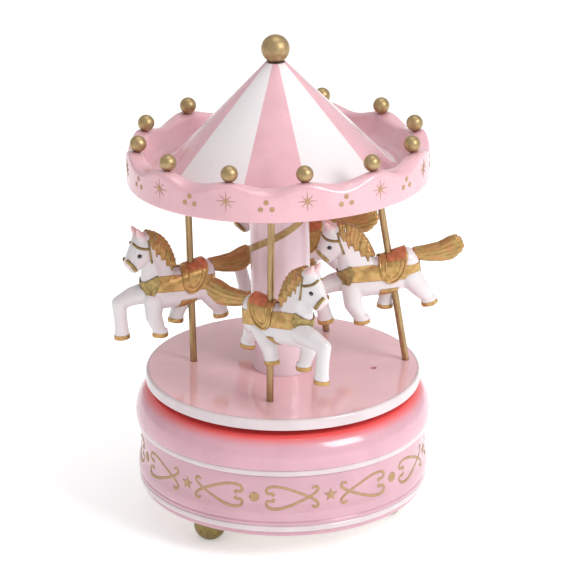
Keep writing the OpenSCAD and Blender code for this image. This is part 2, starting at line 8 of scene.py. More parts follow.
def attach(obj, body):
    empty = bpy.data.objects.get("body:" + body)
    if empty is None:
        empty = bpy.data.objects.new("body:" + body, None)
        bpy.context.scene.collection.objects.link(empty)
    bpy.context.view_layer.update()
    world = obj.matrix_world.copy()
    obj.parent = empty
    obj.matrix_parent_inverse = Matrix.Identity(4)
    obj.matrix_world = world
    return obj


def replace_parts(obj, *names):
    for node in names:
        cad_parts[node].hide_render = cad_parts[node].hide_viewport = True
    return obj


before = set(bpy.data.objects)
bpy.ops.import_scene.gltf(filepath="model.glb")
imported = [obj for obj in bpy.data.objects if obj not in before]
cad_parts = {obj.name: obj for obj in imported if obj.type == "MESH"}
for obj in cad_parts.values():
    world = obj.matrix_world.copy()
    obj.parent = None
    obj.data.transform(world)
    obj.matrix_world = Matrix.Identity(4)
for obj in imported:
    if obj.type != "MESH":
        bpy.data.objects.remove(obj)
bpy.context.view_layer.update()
toMetres = Matrix.Scale(0.001, 4)  # shapes are drawn in millimetres and placed in metres


view = {"lens": 212.5, "sensor": 36, "far": 20, "place": (0.00178, -1.08506, 0.50796), "aim": (0.00178, 0, 0.08096)}


def addCamera():
    camera = bpy.data.objects.new("camera", bpy.data.cameras.new("camera"))
    bpy.context.scene.collection.objects.link(camera)
    camera.data.lens = view["lens"]
    camera.data.sensor_width = view["sensor"]
    camera.data.clip_end = view["far"]
    camera.location = view["place"]
    aim = Vector(view["aim"]) - Vector(view["place"])
    camera.rotation_euler = aim.to_track_quat("-Z", "Y").to_euler()
    bpy.context.scene.camera = camera


addCamera()


# the studio
studio = {"floorColour": (0.95, 0.95, 0.95, 1), "glow": 0.32, "sky": 0.6, "key": 7.2, "fill": 0.3, "top": 2.2}


def addLight(name, place, aim, size, power, colour=(1, 1, 1)):
    light = bpy.data.lights.new(name, "AREA")
    light.energy, light.size, light.color = power, size, colour
    lamp = bpy.data.objects.new(name, light)
    bpy.context.scene.collection.objects.link(lamp)
    lamp.location = place
    lamp.rotation_euler = (Vector(aim) - Vector(place)).to_track_quat("-Z", "Y").to_euler()


def addStudio():
    bpy.context.scene.view_settings.view_transform = "Standard"
    world = bpy.data.worlds.new("studio")
    world.use_nodes = True
    world.node_tree.nodes["Background"].inputs["Color"].default_value = (1, 1, 1, 1)
    world.node_tree.nodes["Background"].inputs["Strength"].default_value = studio["sky"]
    bpy.context.scene.world = world
    addLight("key", (0.75, -0.55, 0.75), (0, 0, 0.08), 0.5, studio["key"])
    addLight("top", (0.1, 0.15, 1.1), (0, 0, 0.1), 0.6, studio["top"])
    addLight("fill", (-0.8, -0.7, 0.35), (0, 0, 0.08), 0.8, studio["fill"])
    bm = bmesh.new()
    bmesh.ops.create_grid(bm, x_segments=1, y_segments=1, size=6)
    mesh = bpy.data.meshes.new("floor")
    bm.to_mesh(mesh)
    floor = bpy.data.objects.new("floor", mesh)
    bpy.context.scene.collection.objects.link(floor)
    paper = bpy.data.materials.new("floorPaper")
    paper.use_nodes = True
    look = {"Base Color": studio["floorColour"], "Roughness": 0.9, "Emission Color": (1, 1, 1, 1),
            "Emission Strength": studio["glow"]}
    for socket, value in look.items():
        paper.node_tree.nodes["Principled BSDF"].inputs[socket].default_value = value
    mesh.materials.append(paper)


addStudio()
print("studio set")


# finishes
def addNode(mat, kind, inputs=None, **settings):
    node = mat.node_tree.nodes.new(kind)
    for name, value in settings.items():
        setattr(node, name, value)
    for socket, value in (inputs or {}).items():
        if isinstance(value, bpy.types.NodeSocket):
            mat.node_tree.links.new(value, node.inputs[socket])
        else:
            node.inputs[socket].default_value = value
    return node


def mathNode(mat, operation, first, second=0.0):
    return addNode(mat, "ShaderNodeMath", {0: first, 1: second}, operation=operation).outputs[0]


def mixNode(mat, share, first, second, blend="MIX"):
    node = addNode(mat, "ShaderNodeMix", {0: share, 6: first, 7: second}, data_type="RGBA", blend_type=blend)
    return node.outputs[2]


def rampNode(mat, value, low, high):
    node = addNode(mat, "ShaderNodeMapRange", {0: value, 1: low, 2: high}, interpolation_type="SMOOTHSTEP")
    return node.outputs[0]


def noiseNode(mat, place, scale, detail=3.0, stretch=(1, 1, 1)):
    turned = addNode(mat, "ShaderNodeMapping", {"Vector": place, "Scale": stretch})
    noise = addNode(mat, "ShaderNodeTexNoise", {"Vector": turned.outputs[0], "Scale": scale, "Detail": detail})
    return noise.outputs[0]


def placeNode(mat, own):
    # own pieces carry a vector of their own millimetres; other pieces read where they stand
    if own:
        return addNode(mat, "ShaderNodeAttribute", attribute_name="place").outputs["Vector"]
    spot = addNode(mat, "ShaderNodeTexCoord").outputs["Object"]
    return addNode(mat, "ShaderNodeVectorMath", {0: spot, "Scale": 1000.0}, operation="SCALE").outputs[0]


def colourOf(values):
    return (values[0], values[1], values[2], 1)


def startFinish(name, own=True):
    mat = bpy.data.materials.new(name)
    mat.use_nodes = True
    return mat, mat.node_tree.nodes["Principled BSDF"], placeNode(mat, own)


def setFinish(mat, shader, inputs):
    for socket, value in inputs.items():
        if isinstance(value, bpy.types.NodeSocket):
            mat.node_tree.links.new(value, shader.inputs[socket])
        else:
            shader.inputs[socket].default_value = value


def addGrain(mat, place, heights, distance):
    # heights: pairs of noise scale and share, summed into one bump
    total = None
    for scale, share in heights:
        part = mathNode(mat, "MULTIPLY", noiseNode(mat, place, scale, 4), share)
        total = part if total is None else mathNode(mat, "ADD", total, part)
    return addNode(mat, "ShaderNodeBump", {"Height": total, "Strength": 1.0, "Distance": distance}).outputs[0]


def lacquer(name, colour, own=True, rough=0.22, mottle=0.05, hollowShadeTone=(0.62, 0.36, 0.36), hollowShadeShare=0.5,
            coat=0.5, grain=0.00003, tint=None):
    mat, shader, place = startFinish(name, own)
    cloud = rampNode(mat, noiseNode(mat, place, 0.09, 4), 0.3, 0.7)
    paler = tuple(min(1, c * (1 + mottle)) for c in colour)
    deeper = tuple(c * (1 - mottle) for c in colour)
    base = mixNode(mat, cloud, colourOf(deeper), colourOf(paler))
    if tint:
        base = tint(mat, place, base)
    specks = rampNode(mat, noiseNode(mat, place, 1.7, 2), 0.68, 0.74)
    base = mixNode(mat, mathNode(mat, "MULTIPLY", specks, 0.06), base, colourOf([c * 0.7 for c in colour]))
    # painted shade: the colour darkens towards the hollow shade tone in creases, recesses and where parts touch
    hollow = addNode(mat, "ShaderNodeAmbientOcclusion", {"Distance": 0.0016}, samples=8).outputs["AO"]
    shade = mathNode(mat, "MULTIPLY", mathNode(mat, "SUBTRACT", 1.0, rampNode(mat, hollow, 0.25, 0.85)), hollowShadeShare)
    base = mixNode(mat, shade, base, colourOf([c * s for c, s in zip(colour, hollowShadeTone)]))
    smears = noiseNode(mat, place, 0.25, 5)
    gloss = mathNode(mat, "ADD", rough - 0.04, mathNode(mat, "MULTIPLY", smears, 0.09))
    setFinish(mat, shader, {
        "Base Color": base, "Roughness": gloss, "Coat Weight": coat, "Coat Roughness": 0.08,
        "Subsurface Weight": 0.08, "Subsurface Radius": (1.0, 0.5, 0.45), "Subsurface Scale": 0.0015,
        "Normal": addGrain(mat, place, ((0.35, 1.0), (3.0, 0.12)), grain)})
    return mat


def goldPaint(name, bright, dark, own=True, metallic=0.8, rough=0.4, brush=(1, 1, 1), hollowShadeShare=0.85,
              blush=None, blushShare=0.0):
    mat, shader, place = startFinish(name, own)
    cloud = rampNode(mat, noiseNode(mat, place, 0.55, 5, brush), 0.28, 0.72)
    base = mixNode(mat, cloud, colourOf(dark), colourOf(bright))
    if blush:
        warm = mathNode(mat, "MULTIPLY", rampNode(mat, noiseNode(mat, place, 0.3, 2), 0.42, 0.62), blushShare)
        base = mixNode(mat, warm, base, colourOf(blush))
    # painted shade: dark lines in hollows and where pieces touch
    hollow = addNode(mat, "ShaderNodeAmbientOcclusion", {"Distance": 0.0012}, samples=8).outputs["AO"]
    shade = mathNode(mat, "MULTIPLY", mathNode(mat, "SUBTRACT", 1.0, rampNode(mat, hollow, 0.3, 0.9)), hollowShadeShare)
    base = mixNode(mat, shade, base, colourOf([c * 0.28 for c in dark]))
    edge = addNode(mat, "ShaderNodeAmbientOcclusion", {"Distance": 0.0005}, samples=8, inside=True).outputs["AO"]
    worn = mathNode(mat, "MULTIPLY", rampNode(mat, edge, 0.55, 0.95), 0.25)
    base = mixNode(mat, worn, base, colourOf([min(1, c * 1.35) for c in bright]))
    gloss = mathNode(mat, "ADD", rough - 0.08, mathNode(mat, "MULTIPLY", noiseNode(mat, place, 2.4, 4, brush), 0.18))
    setFinish(mat, shader, {
        "Base Color": base, "Roughness": gloss, "Metallic": metallic,
        "Normal": addGrain(mat, place, ((1.2, 1.0), (6.0, 0.35)), 0.00005)})
    return mat


def machined(name, bright, dark, rough=0.32, own=False):
    mat, shader, place = startFinish(name, own)
    lines = noiseNode(mat, place, 1.0, 3, (9, 0.8, 0.8))
    base = mixNode(mat, rampNode(mat, lines, 0.3, 0.7), colourOf(dark), colourOf(bright))
    hollow = addNode(mat, "ShaderNodeAmbientOcclusion", {"Distance": 0.002}, samples=8).outputs["AO"]
    shade = mathNode(mat, "MULTIPLY", mathNode(mat, "SUBTRACT", 1.0, rampNode(mat, hollow, 0.3, 0.9)), 0.6)
    base = mixNode(mat, shade, base, colourOf([c * 0.3 for c in dark]))
    gloss = mathNode(mat, "ADD", rough - 0.08, mathNode(mat, "MULTIPLY", lines, 0.2))
    setFinish(mat, shader, {
        "Base Color": base, "Roughness": gloss, "Metallic": 1.0,
        "Normal": addGrain(mat, place, ((0.9, 1.0), (5.0, 0.3)), 0.00004)})
    return mat


def fromAxis(mat, place):
    flat = addNode(mat, "ShaderNodeVectorMath", {0: place, 1: (1, 1, 0)}, operation="MULTIPLY").outputs[0]
    return addNode(mat, "ShaderNodeVectorMath", {0: flat}, operation="LENGTH").outputs["Value"]


# painted light: the radius where the coral under-deck light is full, the radius where it is gone, and its colour
glow = {"full": 46.4, "gone": 49.9, "colour": (0.86, 0.10, 0.095, 1)}


def paintedUnderDeckGlow(mat, place, base):
    # painted light and shade: the shoulder is tinted coral under the deck, standing in for red light bounced off and
    # shone through the pink plastic in the deck's shadow
    radius = fromAxis(mat, place)
    share = mathNode(mat, "SUBTRACT", 1.0, rampNode(mat, radius, glow["full"], glow["gone"]))
    return mixNode(mat, share, base, glow["colour"])


# angles in degrees round the canopy's axis, radii in millimetres
stripes = {"middle": 268.5, "offset": 5, "pairs": 5, "pinkWidth": 30.6, "softness": 0.002, "innerEdge": 39.4,
           "outerEdge": 40.4, "white": (0.83, 0.775, 0.785, 1)}


def canopyStripes(mat, place, base):
    # pink panels and wider off-white ones on the cone, a little uneven round it; the brim stays pink
    parts = addNode(mat, "ShaderNodeSeparateXYZ", {0: place})
    angle = mathNode(mat, "ARCTAN2", parts.outputs[1], parts.outputs[0])
    turned = mathNode(mat, "SUBTRACT", angle, math.radians(stripes["middle"]))
    swing = mathNode(mat, "MULTIPLY", mathNode(mat, "SINE", turned), math.radians(stripes["offset"]))
    count = mathNode(mat, "MULTIPLY", mathNode(mat, "SUBTRACT", turned, swing), stripes["pairs"] / (2 * math.pi))
    fold = mathNode(mat, "PINGPONG", count, 0.5)
    edge = stripes["pinkWidth"] / 2 * stripes["pairs"] / 360
    white = rampNode(mat, fold, edge - stripes["softness"], edge + stripes["softness"])
    radius = fromAxis(mat, place)
    inner = mathNode(mat, "SUBTRACT", 1.0, rampNode(mat, radius, stripes["innerEdge"], stripes["outerEdge"]))
    return mixNode(mat, mathNode(mat, "MULTIPLY", white, inner), base, stripes["white"])


def horseTint(mat, place, base):
    # rosy ears and shaded hollows, the flanks a little lilac
    blush = addNode(mat, "ShaderNodeAttribute", attribute_name="blush").outputs["Fac"]
    base = mixNode(mat, mathNode(mat, "MULTIPLY", blush, 0.7), base, (0.86, 0.47, 0.48, 1))
    patch = rampNode(mat, noiseNode(mat, place, 0.13, 3), 0.45, 0.7)
    return mixNode(mat, mathNode(mat, "MULTIPLY", patch, 0.3), base, (0.83, 0.66, 0.70, 1))


finishes = {
    "basePink": lacquer("basePinkLacquer", (0.62, 0.36, 0.42), rough=0.24),
    "shoulderPink": lacquer("shoulderPinkLacquer", (0.66, 0.37, 0.44), rough=0.2, tint=paintedUnderDeckGlow),
    "trimWhite": lacquer("trimWhiteLacquer", (0.68, 0.59, 0.61), rough=0.2, hollowShadeTone=(0.8, 0.6, 0.62)),
    "deckPink": lacquer("deckPinkGloss", (0.86, 0.52, 0.56), own=False, rough=0.1, mottle=0.03, coat=0.9,
                        grain=0.00001),
    "columnPink": lacquer("columnPaleLacquer", (0.76, 0.60, 0.645), own=False, rough=0.3),
    "canopyPink": lacquer("canopyPinkLacquer", (0.75, 0.43, 0.48), rough=0.26, tint=canopyStripes),
    "ceilingPink": lacquer("ceilingLacquer", (0.80, 0.46, 0.50), own=False, rough=0.4),
    "horseWhite": lacquer("horseGlaze", (0.72, 0.68, 0.69), rough=0.22, mottle=0.02, hollowShadeTone=(0.5, 0.38, 0.35),
                          hollowShadeShare=0.6, coat=0.6, grain=0.00005, tint=horseTint),
    "ballGold": goldPaint("antiqueGoldBalls", (0.44, 0.32, 0.165), (0.32, 0.22, 0.10), own=False),
    "footGold": goldPaint("footOliveGold", (0.30, 0.23, 0.09), (0.16, 0.12, 0.045), own=False, rough=0.46),
    "printGold": goldPaint("printedTanGold", (0.50, 0.32, 0.17), (0.42, 0.26, 0.13), metallic=0.25, rough=0.5,
                           hollowShadeShare=0.1),
    "ribbonGold": goldPaint("ribbonGold", (0.44, 0.29, 0.13), (0.33, 0.21, 0.085), own=False, metallic=0.6,
                            hollowShadeShare=0.3),
    "maneGold": goldPaint("maneGold", (0.47, 0.31, 0.11), (0.24, 0.15, 0.05), metallic=0.6, rough=0.38,
                          brush=(1, 1, 3), blush=(0.55, 0.22, 0.10), blushShare=0.55),
    "tackGold": goldPaint("tackGold", (0.60, 0.40, 0.15), (0.40, 0.24, 0.08), metallic=0.7, rough=0.34,
                          blush=(0.56, 0.28, 0.12), blushShare=0.35),
    "collarGold": goldPaint("collarBronze", (0.42, 0.31, 0.12), (0.17, 0.11, 0.04), metallic=0.7, rough=0.38),
    "seatCopper": goldPaint("seatCopper", (0.66, 0.25, 0.12), (0.45, 0.16, 0.07), metallic=0.45, rough=0.38),
    "poleBrass": goldPaint("poleBrass", (0.42, 0.29, 0.15), (0.24, 0.155, 0.07), own=False, metallic=0.9,
                           rough=0.34, brush=(3, 3, 0.25), hollowShadeShare=0.6),
    "eyeBlack": lacquer("eyeBlack", (0.012, 0.010, 0.012), rough=0.08, hollowShadeShare=0.0),
    "boardBeige": lacquer("innerBoard", (0.70, 0.62, 0.58), own=False, rough=0.6, coat=0.0),
    "brass": machined("movementBrass", (0.75, 0.55, 0.24), (0.60, 0.42, 0.17)),
    "steel": machined("movementSteel", (0.62, 0.63, 0.65), (0.48, 0.49, 0.51), rough=0.28),
    "castZinc": machined("castZinc", (0.50, 0.49, 0.48), (0.36, 0.36, 0.35), rough=0.5),
}
print("finishes mixed")


# helpers for making pieces
def roundedOutline(points, radius, closed=True):
    # each corner becomes a small arc with a supporting point on either side
    done = []
    count = len(points)
    for i, corner in enumerate(points):
        here = Vector(corner)
        if not closed and i in (0, count - 1):
            done.append(here)
            continue
        before, after = Vector(points[i - 1]) - here, Vector(points[(i + 1) % count]) - here
        cut = min(radius, 0.4 * before.length, 0.4 * after.length)
        start, end = here + before.normalized() * cut, here + after.normalized() * cut
        if before.length > 3 * cut:
            done.append(here + before.normalized() * cut * 1.3)
        for k in range(5):
            t = k / 4
            done.append(start * (1 - t) ** 2 + here * 2 * t * (1 - t) + end * t ** 2)
        if after.length > 3 * cut:
            done.append(here + after.normalized() * cut * 1.3)
    return done


def spunShape(points, steps=192, closed=True):
    bm = bmesh.new()
    verts = [bm.verts.new((p[0], 0, p[1])) for p in points]
    pairs = list(zip(verts, verts[1:] + verts[:1])) if closed else list(zip(verts, verts[1:]))
    edges = [bm.edges.new(pair) for pair in pairs]
    bmesh.ops.spin(bm, geom=verts + edges, cent=(0, 0, 0), axis=(0, 0, 1), angle=2 * math.pi, steps=steps,
                   use_merge=True)
    bmesh.ops.remove_doubles(bm, verts=bm.verts[:], dist=0.0001)
    bmesh.ops.recalc_face_normals(bm, faces=bm.faces[:])
    return bm


def meshOf(bm):
    mesh = bpy.data.meshes.new("shape")
    bm.to_mesh(mesh)
    bm.free()
    return mesh


def addPiece(name, shape, finish, body, matrix=Matrix.Identity(4), blush=None, smooth=True):
    mesh = meshOf(shape) if isinstance(shape, bmesh.types.BMesh) else shape.copy()
    for kind in ("place", "blush"):
        if kind in mesh.attributes:
            mesh.attributes.remove(mesh.attributes[kind])
    spots = mesh.attributes.new("place", "FLOAT_VECTOR", "POINT")
    spots.data.foreach_set("vector", [c for v in mesh.vertices for c in v.co])
    if blush:
        warm = mesh.attributes.new("blush", "FLOAT", "POINT")
        warm.data.foreach_set("value", [blush(v.co) for v in mesh.vertices])
    mesh.transform(toMetres @ matrix)
    mesh.name = name
    mesh.materials.clear()
    mesh.materials.append(finishes[finish])
    mesh.polygons.foreach_set("use_smooth", [smooth] * len(mesh.polygons))
    mesh.update()
    piece = bpy.data.objects.new(name, mesh)
    bpy.context.scene.collection.objects.link(piece)
    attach(piece, body)
    return piece


def evaluated(obj):
    bpy.context.view_layer.update()
    mesh = bpy.data.meshes.new_from_object(obj.evaluated_get(bpy.context.evaluated_depsgraph_get()))
    bpy.data.objects.remove(obj)
    return mesh


def fused(bm, voxel, rounds, factor=0.5):
    # many closed lumps become one smooth skin
    obj = bpy.data.objects.new("lumps", meshOf(bm))
    bpy.context.scene.collection.objects.link(obj)
    fuse = obj.modifiers.new("fuse", "REMESH")
    fuse.mode, fuse.voxel_size, fuse.use_smooth_shade = "VOXEL", voxel, True
    soften = obj.modifiers.new("soften", "SMOOTH")
    soften.iterations, soften.factor = rounds, factor
    return evaluated(obj)


def addHull(bm, balls, detail=2):
    lump = bmesh.new()
    for x, y, z, r in balls:
        bmesh.ops.create_icosphere(lump, subdivisions=detail, radius=r, matrix=Matrix.Translation((x, y, z)))
    bmesh.ops.delete(lump, geom=lump.edges[:], context="EDGES_FACES")
    made = bmesh.ops.convex_hull(lump, input=lump.verts[:])
    inner = {g for g in made["geom_interior"] + made["geom_unused"] if isinstance(g, bmesh.types.BMVert)}
    bmesh.ops.delete(lump, geom=list(inner), context="VERTS")
    bm.from_mesh(meshOf(lump))


def addLimb(bm, balls, detail=2):
    for pair in zip(balls, balls[1:]):
        addHull(bm, pair, detail)


def tubeMesh(points, radius, smooth=True, taper=None, sides=2):
    curve = bpy.data.curves.new("path", "CURVE")
    curve.dimensions = "3D"
    curve.bevel_depth, curve.bevel_resolution, curve.use_fill_caps = radius, sides, True
    curve.resolution_u = 5
    spline = curve.splines.new("NURBS" if smooth else "POLY")
    spline.points.add(len(points) - 1)
    for i, (spot, p) in enumerate(zip(spline.points, points)):
        spot.co = (*p, 1)
        spot.radius = taper[i] if taper else 1
    if smooth:
        spline.order_u, spline.use_endpoint_u = min(4, len(points)), True
    obj = bpy.data.objects.new("path", curve)
    bpy.context.scene.collection.objects.link(obj)
    return evaluated(obj)


# base
base = {
    "wall": [(46, 10.1), (48.55, 10.1), (48.85, 10.4), (48.85, 12.1), (48.3, 12.1), (48.3, 14.3), (49.9, 14.3),
             (49.9, 15.4), (49.6, 15.7), (49.9, 16), (50.3, 16.6), (50.32, 17.9), (50.2, 19.2), (49.75, 20.8),
             (49.35, 22.4), (49.3, 24), (49.3, 32.5), (47.8, 32.5), (47.8, 37), (46, 37)],
    "shoulder": [(5.1, 43.4), (45.5, 43.4), (48, 41), (48, 35), (50.6, 35), (50.9, 35.4), (51, 36.4), (51, 38),
                 (50.75, 39.7), (50.35, 41.2), (49.7, 42.6), (48.7, 44), (47.5, 45.1), (46, 46), (5.1, 46)],
    "upperTrim": [(47.9, 32.5), (49.5, 32.5), (50.1, 32.8), (50.4, 33.5), (50.5, 34.3), (50.3, 35), (47.9, 35)],
    "lowerTrim": [(48.4, 12.1), (49.7, 12.1), (50, 12.5), (50.05, 13.2), (50, 13.9), (49.7, 14.3), (48.4, 14.3)],
    "bosses": (48, 168, 288),
}


def buildBase():
    wall = spunShape(roundedOutline(base["wall"], 0.35))
    for angle in base["bosses"]:
        boss = spunShape(roundedOutline([(1.1, 12.1), (3.2, 12.1), (3.2, 20.1), (1.1, 20.1)], 0.2), 32)
        spot = Matrix.Rotation(math.radians(angle), 4, "Z") @ Matrix.Translation((42.4, 0, 0))
        bmesh.ops.transform(boss, matrix=spot, verts=boss.verts[:])
        wall.from_mesh(meshOf(boss))
    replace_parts(addPiece("baseWall", wall, "basePink", "base"), "base_body")
    shoulder = spunShape(roundedOutline(base["shoulder"], 0.5))
    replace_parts(addPiece("baseShoulder", shoulder, "shoulderPink", "base"), "base_shoulder")
    for name, node in (("upperTrim", "upper_trim_ring"), ("lowerTrim", "lower_trim_ring")):
        ring = spunShape(roundedOutline(base[name], 0.3))
        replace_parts(addPiece(name, ring, "trimWhite", "base"), node)


# printed pattern round the base and on the canopy
prints = {
    "baseRow": 24.7, "baseRadius": 49.33, "stars": 289.1, "dots": 258.8, "heartLength": 18.6,
    "starRow": 7.1, "dotRow": 5.6, "fasciaRadius": 51.43, "ballAngle": 11,
    # one half of a heart, from the hook in the notch round the lobe to the curl at the tail
    "heartHalf": [(2.4, 0.5), (3.3, 1.0), (2.6, 1.7), (1.2, 1.1), (0.1, 2.0), (0.7, 3.7), (3.2, 4.2), (7.0, 3.6),
                  (11.0, 1.9), (14.5, 0.3), (16.6, -1.0), (18.3, -2.4), (17.6, -3.9), (16.2, -3.7), (16.0, -2.9)],
    "strokeRadius": 0.47,
}


def wallSwell(z):
    # how far the waist wall stands out below its straight part
    steps = [(18, 1.0), (19.2, 0.9), (20.8, 0.46), (22.4, 0.06), (24, 0.0)]
    for (low, a), (high, b) in zip(steps, steps[1:]):
        if z <= high:
            return a + (b - a) * max(0.0, (z - low) / (high - low))
    return 0.0


def bent(mesh, radius, angle, height, mirrored=False, depth=0.12, swell=None):
    # a flat drawing in x and y, z its thickness, is wrapped round the wall
    for v in mesh.vertices:
        along = -v.co.x if mirrored else v.co.x
        a = math.radians(angle) + along / radius
        r = radius + v.co.z * depth + (swell(height + v.co.y) if swell else 0.0)
        v.co = (r * math.cos(a), r * math.sin(a), height + v.co.y)
    return mesh


def starShape(tips, longTip, shortTip, valley, turn=math.pi / 2):
    bm = bmesh.new()
    bmesh.ops.create_circle(bm, cap_ends=True, segments=2 * tips, radius=1)
    bm.verts.ensure_lookup_table()
    for i, v in enumerate(bm.verts):
        reach = valley if i % 2 else (longTip if (i // 2) % 2 == 0 else shortTip)
        a = turn + i * math.pi / tips
        v.co = (reach * math.cos(a), reach * math.sin(a), 0)
    return thickened(bm)


def dotShape(radius):
    bm = bmesh.new()
    bmesh.ops.create_circle(bm, cap_ends=True, segments=28, radius=radius)
    return thickened(bm)


def thickened(bm):
    bmesh.ops.triangulate(bm, faces=bm.faces[:])
    bmesh.ops.subdivide_edges(bm, edges=bm.edges[:], cuts=2, use_grid_fill=True)
    made = bmesh.ops.extrude_face_region(bm, geom=bm.faces[:])
    raised = [g for g in made["geom"] if isinstance(g, bmesh.types.BMVert)]
    bmesh.ops.translate(bm, verts=raised, vec=(0, 0, prints["strokeRadius"]))
    bmesh.ops.recalc_face_normals(bm, faces=bm.faces[:])
    return meshOf(bm)


def addPrint(bm, mesh):
    bm.from_mesh(mesh)
    bpy.data.meshes.remove(mesh)


def buildBasePrint():
    drawn = bmesh.new()
    row, radius = prints["baseRow"], prints["baseRadius"]
    half = [(x, y, 0) for x, y in prints["heartHalf"]]
    stroke = tubeMesh(half, prints["strokeRadius"], taper=[0.7] + [1] * 13 + [0.7])
    gap = (math.radians(prints["stars"] - prints["dots"]) * radius - prints["heartLength"]) / 2
    for k in range(6):
        star, dot = prints["stars"] + 60 * k, prints["dots"] + 60 * k
        addPrint(drawn, bent(starShape(5, 2.5, 2.5, 1.05), radius, star, row))
        addPrint(drawn, bent(dotShape(1.75), radius, dot, row))
        for side in (1, -1):
            for flip in (1, -1):
                copy = stroke.copy()
                for v in copy.vertices:
                    v.co = (v.co.x + gap, v.co.y * flip, v.co.z)
                addPrint(drawn, bent(copy, radius, dot, row, side < 0, swell=wallSwell))
    bmesh.ops.recalc_face_normals(drawn, faces=drawn.faces[:])
    addPiece("basePrint", drawn, "printGold", "base")


# canopy
canopy = {
    "bottom": 121.3, "radius": 51.4, "apex": 165.1, "fall": 1.034, "roll": -1.2, "pitch": -2.2,
    "shift": (-1.5, 0.8), "waves": 12, "steps": 360,
}


def askew():
    lift = Matrix.Translation((canopy["shift"][0], canopy["shift"][1], canopy["bottom"]))
    roll = Matrix.Rotation(math.radians(canopy["roll"]), 4, "Y")
    pitch = Matrix.Rotation(math.radians(canopy["pitch"]), 4, "X")
    return lift @ (roll @ pitch) @ Matrix.Translation((0, 0, -canopy["bottom"]))


def cone(radius):
    return canopy["apex"] - canopy["fall"] * radius


def roofOutline():
    # radius, height in a dip, extra height under a ball
    low, rim = canopy["bottom"], canopy["radius"]
    return [(rim, low, 0), (rim, low + 8.3, 3.1), (rim - 0.5, low + 9.2, 3.2), (49.6, low + 9.9, 2.8),
            (48.3, low + 10.4, 2.3), (46.6, low + 10.6, 1.6), (45.6, low + 9.9, 1.4), (44.9, low + 8.2, 0.9),
            (43.5, low + 5.8, 0), (42.2, low + 4.4, 0), (40.6, low + 3.7, 0), (38.2, cone(38.2), 0),
            (30, cone(30) + 0.25, 0), (16, cone(16) + 0.15, 0), (2.95, cone(2.95), 0), (2.95, cone(3.4) - 1.9, 0),
            (37.6, cone(37.6) - 1.9, 0), (42.4, low, 0), (44.2, low + 3.4, 0), (45.9, low + 8.2, 0.6),
            (rim - 1.7, low + 6.6, 3), (rim - 1.7, low, 0)]


def buildCanopy():
    flat = roundedOutline([(r, z, k) for r, z, k in roofOutline()], 1.1)
    lifts = [p.z for p in flat]
    bm = spunShape([(p.x, p.y) for p in flat], canopy["steps"])
    table = {(round(p.x, 3), round(p.y, 3)): k for p, k in zip(flat, lifts)}
    turn = math.radians(prints["ballAngle"])
    for v in bm.verts:
        r = math.hypot(v.co.x, v.co.y)
        key = (round(r, 3), round(v.co.z, 3))
        near = table.get(key)
        if near is None:
            near = min(table.items(), key=lambda item: (item[0][0] - r) ** 2 + (item[0][1] - v.co.z) ** 2)[1]
        crest = (1 + math.cos(canopy["waves"] * (math.atan2(v.co.y, v.co.x) - turn))) / 2
        v.co.z += near * crest
    roof = addPiece("canopyRoof", bm, "canopyPink", "carousel", askew())
    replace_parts(roof, "canopy_roof")
    drawn = bmesh.new()
    radius, low = prints["fasciaRadius"], canopy["bottom"]
    for k in range(canopy["waves"]):
        angle = prints["ballAngle"] + 30 * k
        addPrint(drawn, bent(starShape(8, 3.5, 2.9, 0.55), radius, angle, low + prints["starRow"]))
        for x, y in ((-1.9, -0.8), (1.9, -0.8), (0, 1.55)):
            dot = bent(dotShape(0.85), radius, angle + 15 + math.degrees(x / radius), low + prints["dotRow"] + y)
            addPrint(drawn, dot)
    addPiece("canopyPrint", drawn, "printGold", "carousel", askew())


# deck rim
deckRim = [(46.52, 48.2), (47.1, 48.2), (47.4, 48.5), (47.4, 51.7), (47, 52.15), (46.52, 52.2)]


def buildDeckRim():
    rim = spunShape(roundedOutline(deckRim, 0.25))
    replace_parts(addPiece("deckRim", rim, "trimWhite", "carousel"), "deck_rim")


buildBase()
buildBasePrint()
buildCanopy()
buildDeckRim()
print("base, canopy and prints built")


